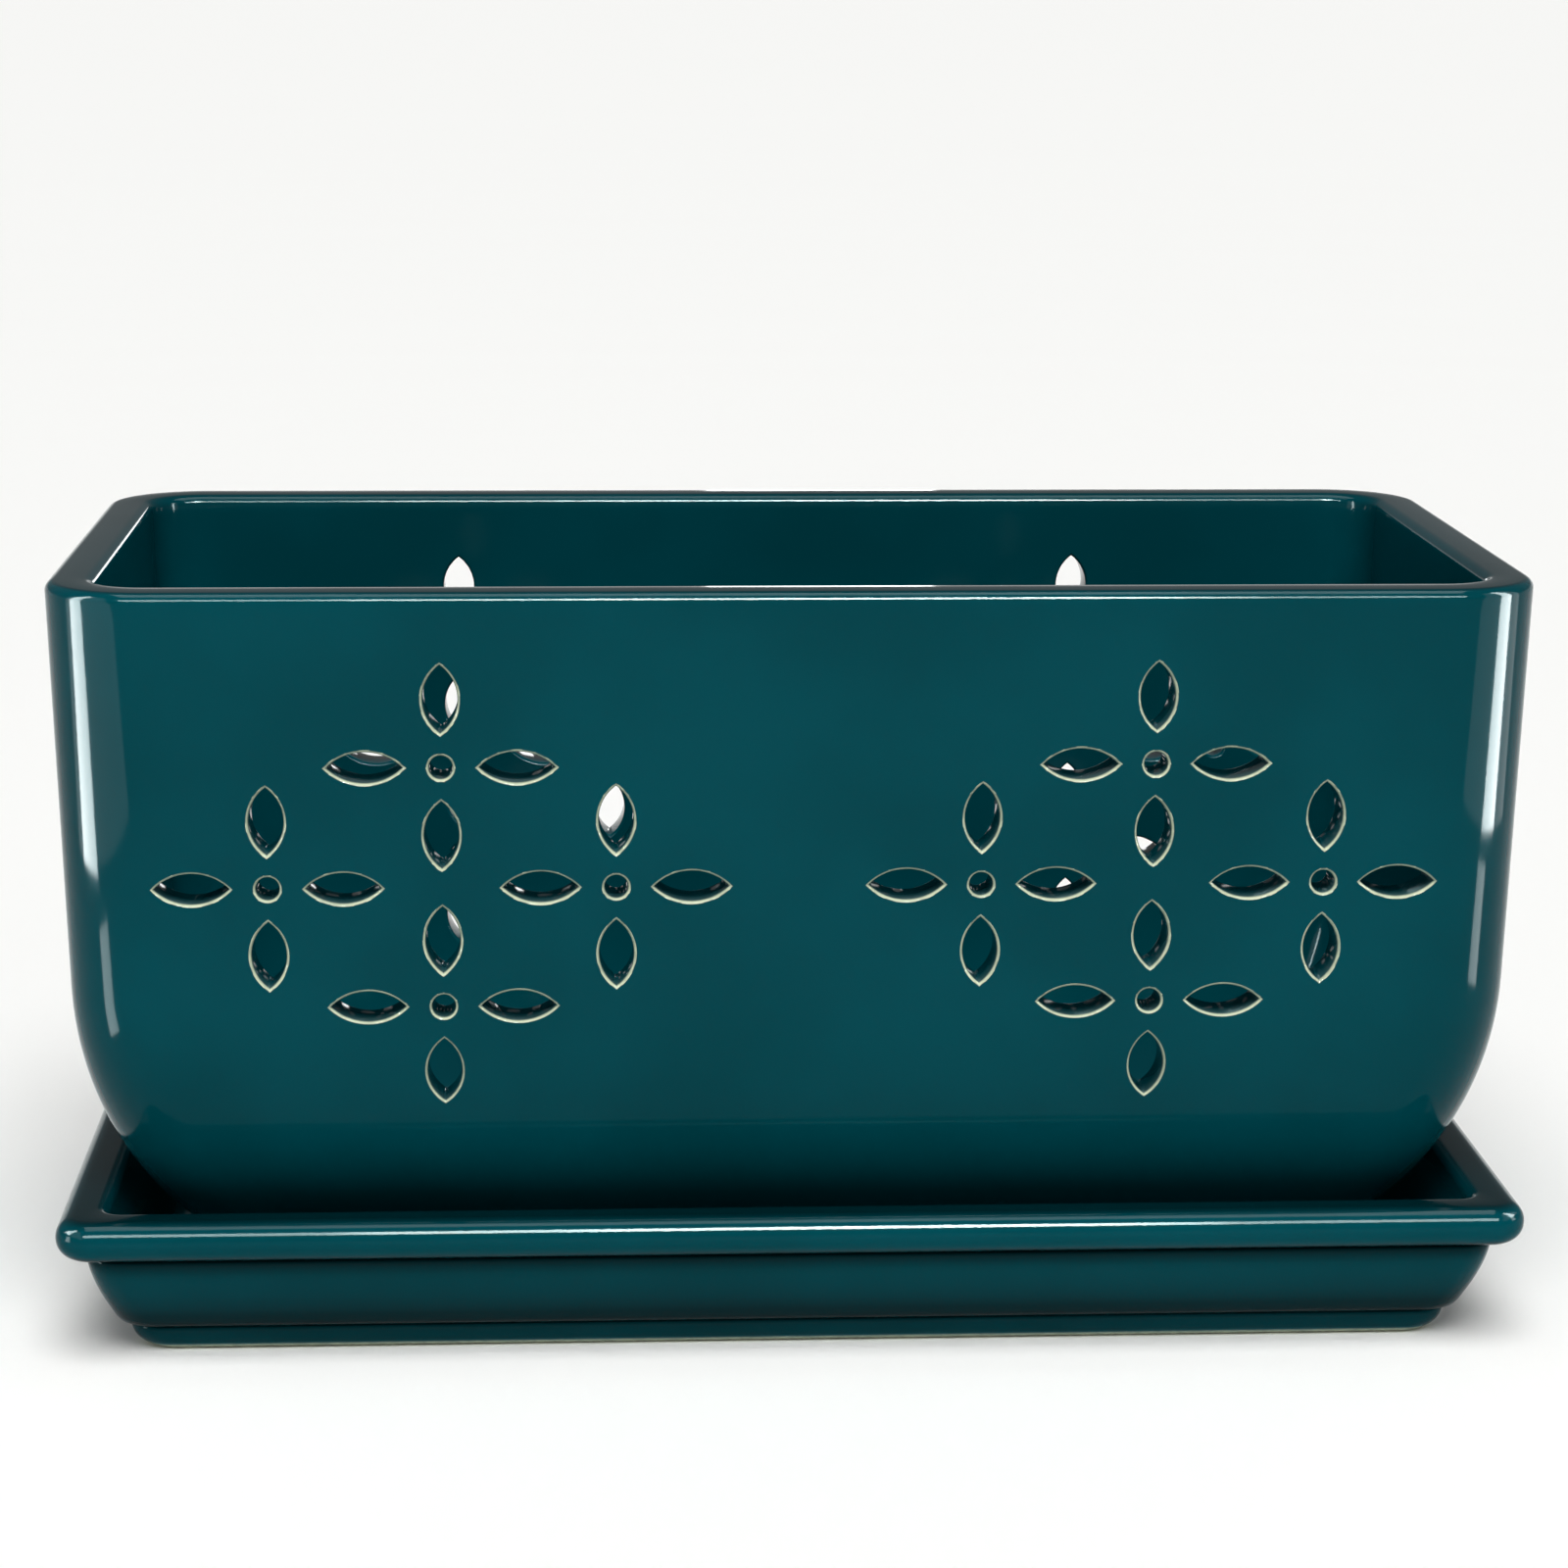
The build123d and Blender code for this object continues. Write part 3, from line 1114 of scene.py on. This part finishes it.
@dataclass
class Saucer:
    """The drip tray: a rolled lip, a swelling wall, a stepped foot and a flat floor.

    Sizes are the CAD's, in mm. Heights are above the studio floor that it stands on. Small roundings that the
    CAD leaves out are written where they are made.
    """

    # Overall, from the frame
    length: float
    depth: float
    top: float
    corner: float = 8.5

    # Rolled lip, and the wall under it
    lip_height: float = 9.3
    lip_round: float = 4.5
    lip_width: float = 11.5
    lip_inner_round: float = 3.0
    lip_inner_corner: float = 3.5
    # Painted shade on the lip's top
    lip_shade: float = 0.8
    wall_inset: float = 6.0
    wall_lean: float = 4.5

    # Stepped foot, tucked in at its top, and the recess under it
    step_inset: float = 14.5
    step_height: float = 6.5
    step_lean: float = 4.5
    step_tuck: float = 0.6
    base_ring: float = 14.0
    base_recess: float = 2.0

    # Inside, where the wall takes a share of the lean and the rounding above the floor takes the rest
    floor: float = 8.0
    basin_lean: float = 7.5
    basin_share: float = 0.8
    basin_round: float = 4.0

    @property
    def step_top(self) -> float:
        """Height at which the step's face turns in under the wall."""
        return self.step_height - self.step_tuck

    @property
    def crease(self) -> float:
        """Height of the crease under the lip."""
        return self.top - self.lip_height

    def foot_rows(self) -> list[Row]:
        """Rings of the bare underside and of the step.

        Returns:
            The rings in order, from the middle of the underside to the top of the step.
        """
        base = self.step_inset + self.step_lean
        ring = base + self.base_ring
        recess_edge = ((1.6, 0.0), (0.5, 0.0), (0.0, -0.5), (-0.2, -1.7), (-0.7, -self.base_recess))
        rows = []
        for inset, height in recess_edge:
            rows.append(Row(ring + inset, self.base_recess + height, self.corner, bare=True))
        rows.append(Row(base + 0.8, 0.0, self.corner, bare=True))
        rows.append(Row(base + 0.2, 0.12, self.corner, 1.0, bare=True))
        # The step is pale at its bare lower edge and takes painted shade above it
        for sine, cosine in sweep(12, 90, 8):
            inset = self.step_inset + self.step_lean * (1 - sine)
            height = self.step_top * (1 - cosine)
            rows.append(Row(inset, height, self.corner, 0.9 - 0.5 * height if height < 1.8 else -0.45))
        return rows

    def wall_rows(self) -> list[Row]:
        """Rings of the outer wall, with painted shade that is deep in the creases below and above it and
        light over the rest.

        Returns:
            The rings in order, from the step to the crease under the lip.
        """
        step, foot = self.step_inset, self.wall_inset + self.wall_lean
        tuck = ((step + 0.5, 0.3), (step + 1.3, 0.55), (step + 0.4, 0.72))
        swell = ((foot + 2.6, 0.9), (foot + 1.5, 1.6), (foot + 0.7, 2.9))
        rows = []
        # Painted shade in the crease over the step
        for inset, rise in (*tuck, *swell):
            rows.append(Row(inset, self.step_top + rise, self.corner, max(-1.0, rise / 12 - 1.05)))
        start, end = self.step_top + 4.4, self.crease - 1.6
        for share in np.linspace(0, 1, 10):
            inset = self.wall_inset + self.wall_lean * (1 - share) ** 1.5
            # Painted shade: deep at the foot of the wall and under the lip, light between
            shade_share = 0.12 + 0.63 * (1 - share) ** 2.5 + 0.6 * max(0.0, 4 * share - 3)
            rows.append(Row(inset, start + share * (end - start), self.corner, -shade_share))
        # Full painted shade in the crease under the lip
        under_lip = ((0.4, 1.0), (1.2, 0.5), (1.3, 0.15), (0.9, 0.0))
        for inset, drop in under_lip:
            rows.append(Row(self.wall_inset + inset, self.crease - drop, self.corner - 0.5, -1.0))
        return rows

    def lip_rows(self) -> list[Row]:
        """Rings of the rolled lip, with painted shade underneath, on the top and at the inner edge.

        Returns:
            The rings in order, from the crease round the outside to the inner edge.
        """
        rows = []
        for sine, cosine in sweep(0, 90, 8):
            inset = self.lip_round * (1 - sine)
            height = self.lip_round * (1 - cosine)
            # Painted shade under the roll of the lip, fading as it rises
            shade_share = min(1.0, max(0.0, 1.15 - 0.55 * height))
            rows.append(Row(inset, self.crease + height, self.corner - inset, -shade_share))
        for sine, cosine in sweep(0, 90, 8):
            inset = self.lip_round * (1 - cosine)
            # Painted shade on the lip's top
            shade_share = self.lip_shade * max(0.0, 4 * sine - 3)
            rows.append(Row(inset, self.top - self.lip_round * (1 - sine), self.corner - inset, -shade_share))
        for sine, cosine in sweep(0, 90, 5):
            back = self.lip_inner_round * (1 - sine)
            height = self.top - self.lip_inner_round * (1 - cosine)
            # Painted shade at the inner edge, lighter as it goes down
            shade_share = self.lip_shade - 0.5 * sine
            rows.append(Row(self.lip_width - back, height, self.lip_inner_corner + back, -shade_share))
        return rows

    def basin_rows(self) -> list[Row]:
        """Rings of the inside.

        Returns:
            The rings in order, from the lip to the middle of the floor.
        """
        edge = self.top - self.lip_inner_round
        landing = self.floor + self.basin_round
        rows = []
        for share in (0.25, 0.5, 0.75, 1.0):
            inset = self.lip_width + share * self.basin_lean * self.basin_share
            rows.append(Row(inset, edge - share * (edge - landing), self.lip_inner_corner))
        wall_end = rows[-1].inset
        floor_corner = self.lip_inner_corner - 1
        for sine, cosine in sweep(0, 90, 5)[1:]:
            inset = wall_end + self.basin_round * (1 - cosine)
            rows.append(Row(inset, landing - self.basin_round * sine, floor_corner))
        rows.append(Row(wall_end + 2 * self.basin_round, self.floor, floor_corner))
        return rows

    def build(self, glaze: bpy.types.Material, clay: bpy.types.Material) -> bpy.types.Object:
        """Makes the finished saucer.

        Args:
            glaze: Finish of the glazed faces.
            clay: Finish of the wiped faces.

        Returns:
            The saucer's object, at the origin.
        """
        plan = RoundedPlan(self.length / 2, self.depth / 2, steps_x=60, steps_y=32, steps_corner=14)
        rows = [*self.foot_rows(), *self.wall_rows(), *self.lip_rows(), *self.basin_rows()]
        made = new_object("drip_saucer", plan.solid("drip_saucer", rows))
        for finish in (glaze, clay):
            made.data.materials.append(finish)
        return made


@dataclass(frozen=True)
class GlintStrip:
    """A strip lamp that shows only in gloss, as the glints along the glaze's edges.

    Attributes:
        name: What it is for.
        low: Middle of its lower end, mm.
        high: Middle of its upper end, mm.
        aim: The point that it faces, mm.
        width: Its width, mm.
        glow: Brightness of its face, where 1 is white.
    """

    name: str
    low: tuple[float, float, float]
    high: tuple[float, float, float]
    aim: tuple[float, float, float]
    width: float
    glow: float

    def hang(self) -> None:
        """Adds the lamp to the scene."""
        low, high, aim = (Vector(point) * MM for point in (self.low, self.high, self.aim))
        rise = high - low
        middle = (high + low) / 2
        lamp = bpy.data.lights.new(self.name, "AREA")
        lamp.shape = "RECTANGLE"
        lamp.size, lamp.size_y = self.width * MM, rise.length
        lamp.energy = self.glow * math.pi * lamp.size * lamp.size_y
        made = new_object(self.name, lamp)
        made.visible_camera = False
        made.visible_diffuse = False
        up = rise.normalized()
        made.matrix_world = standing(middle, up.cross(middle - aim).normalized(), up)


@dataclass
class Studio:
    """A pale floor that runs out to the horizon, soft lamps, and the photograph's viewpoint.

    Attributes:
        sensor: Width of the camera's sensor, mm.
        lens: Focal length, mm.
        place: The camera's place, mm.
        yaw: Degrees that it looks to the right of straight ahead.
        pitch: Degrees that it looks down.
        roll: Degrees that it is tipped to the right.
        floor_reach: Distance from the middle of the floor to its edges, mm.
        horizon_colour: Colour of the dome at the horizon.
        dome_colour: Colour of the dome above it.
        horizon_span: Sines of the heights between which the one turns to the other.
        key_height: Degrees that the key lamp stands above the horizon, in front.
        key_spread: Degrees that it takes up, which softens the shadows.
        key_level: Its strength.
    """

    sensor: float = 36.0
    lens: float = 88.26
    place: tuple[float, float, float] = (-49.94, -907.16, 313.15)
    yaw: float = 3.211
    pitch: float = 12.276
    roll: float = 0.351
    floor_reach: float = 30000.0
    horizon_colour: str = "#FDFDFC"
    dome_colour: str = "#888888"
    horizon_span: tuple[float, float] = (0.035, 0.105)
    key_height: float = 62.0
    key_spread: float = 40.0
    key_level: float = 2.67

    def camera(self) -> None:
        """Sets up the camera and makes it the scene's own."""
        yaw, pitch, roll = (math.radians(angle) for angle in (self.yaw, self.pitch, self.roll))
        ahead = Vector((math.sin(yaw) * math.cos(pitch), math.cos(yaw) * math.cos(pitch), -math.sin(pitch)))
        level = Vector((math.cos(yaw), -math.sin(yaw), 0.0))
        over = level.cross(ahead)
        right = level * math.cos(roll) + over * math.sin(roll)
        up = over * math.cos(roll) - level * math.sin(roll)
        lens = bpy.data.cameras.new("photograph_view")
        lens.lens = self.lens
        lens.sensor_width = self.sensor
        lens.clip_start, lens.clip_end = 0.01, 100.0
        made = new_object("photograph_view", lens)
        made.matrix_world = standing(Vector(self.place) * MM, right, up)
        bpy.context.scene.camera = made

    def floor(self) -> None:
        """Lays the floor, out to the horizon."""
        far = self.floor_reach * MM
        mesh = bpy.data.meshes.new("studio_floor")
        mesh.from_pydata([(-far, -far, 0), (far, -far, 0), (far, far, 0), (-far, far, 0)], [], [[0, 1, 2, 3]])
        mesh.materials.append(BackdropPaper().material())
        made = new_object("studio_floor", mesh)

    def key(self) -> None:
        """Hangs the key lamp, which lights the glaze's colour and doesn't show in its gloss."""
        lamp = bpy.data.lights.new("key_lamp", "SUN")
        lamp.energy = self.key_level
        lamp.angle = math.radians(self.key_spread)
        made = new_object("key_lamp", lamp)
        made.visible_glossy = False
        made.rotation_euler = (math.radians(90 - self.key_height), 0.0, 0.0)

    def strips(self) -> None:
        """Hangs the strip lamps, for each front corner, the tops, the back, and the edges of rim and lip."""
        left, right, front = (-160, -75, 120), (160, -75, 120), (0, -80, 170)
        strips = [
            GlintStrip("left_strip", (-271, -80, 79), (-470, -146, 490), left, 45, 95.0),
            GlintStrip("left_wash", (-265, -122, 79), (-460, -190, 490), left, 190, 5.5),
            GlintStrip("left_low_strip", (-245, -106, 25), (-263, -107, 65), left, 26, 30.0),
            GlintStrip("right_strip", (276, -90, 86), (468, -135, 490), right, 45, 95.0),
            GlintStrip("right_wash", (274, -105, 86), (464, -150, 490), right, 170, 5.5),
            GlintStrip("right_low_strip", (256, -98, 50), (269, -100, 79), right, 26, 26.0),
            GlintStrip("overhead_strip", (0, -350, 1000), (0, 150, 1000), front, 900, 14.0),
            GlintStrip("back_strip", (80, 1100, 185), (80, 1100, 265), left, 120, 6.0),
        ]
        # Narrower strips over a wide one, so that the line along the rim and the lip fades to both ends
        for middle, width, glow in ((0, 1300, 88.0), (55, 430, 120.0), (95, 290, 120.0), (120, 140, 120.0)):
            low, high = (middle, -960, 630), (middle, -800, 860)
            strips.append(GlintStrip("edge_strip", low, high, front, width, glow))
        for strip in strips:
            strip.hang()

    def dome(self) -> None:
        """Sets the dome of even light, pale at the horizon and grey above it."""
        world = bpy.data.worlds.new("studio_dome")
        bpy.context.scene.world = world
        tree = empty_tree(world)
        way = add_node(tree, "ShaderNodeTexCoord").outputs["Generated"]
        rise = add_node(tree, "ShaderNodeSeparateXYZ", {0: way}).outputs["Z"]
        low, high = self.horizon_span
        share = add_node(tree, "ShaderNodeMapRange", {"Value": rise, "From Min": low, "From Max": high})
        colours = {MIX_FROM: srgb(self.horizon_colour), MIX_TO: srgb(self.dome_colour)}
        colour = add_node(
            tree, "ShaderNodeMix", {MIX_SHARE: share.outputs["Result"], **colours}, data_type="RGBA"
        )
        glow = add_node(tree, "ShaderNodeBackground", {"Color": colour.outputs[MIXED]})
        add_node(tree, "ShaderNodeOutputWorld", {"Surface": glow.outputs["Background"]})


def node_box(node: str) -> tuple[np.ndarray, np.ndarray]:
    """A CAD node's lowest and highest corners in mm.

    Args:
        node: The node's name.

    Returns:
        The two corners.
    """
    low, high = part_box(node)
    return np.array(low) / MM, np.array(high) / MM


def main() -> None:
    """Builds the pot, the saucer and the studio round the frame."""
    logging.basicConfig(level=logging.INFO)
    bpy.context.scene.view_settings.view_transform = "Standard"
    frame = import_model()
    log.info("frame: %s", sorted(frame["nodes"]))
    glaze = StonewareGlaze(
        # The darkest colour is the painted shade for creases and tops
        "teal_stoneware_glaze", body="#00454E", shade="#003F47", painted_shade="#000C0E", broken="#C9D1B4"
    ).material()
    clay = BareStoneware().material()

    pot_low, pot_high = node_box("pot")
    saucer_low, saucer_high = node_box("saucer")
    pot = Pot(
        length=pot_high[0] - pot_low[0],
        depth=pot_high[1] - pot_low[1],
        base=pot_low[2],
        top=pot_high[2],
    )
    saucer = Saucer(
        length=saucer_high[0] - saucer_low[0],
        depth=saucer_high[1] - saucer_low[1],
        top=saucer_high[2],
    )
    for node, slot, piece in (
        ("pot", "pot_glaze", pot.build(glaze, clay)),
        ("saucer", "saucer_glaze", saucer.build(glaze, clay)),
    ):
        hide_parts(node)
        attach(piece, node)
        log.info("%s: %d faces", piece.name, len(piece.data.polygons))

    studio = Studio()
    studio.floor()
    studio.key()
    studio.strips()
    studio.dome()
    studio.camera()


if __name__ == "__main__":
    main()
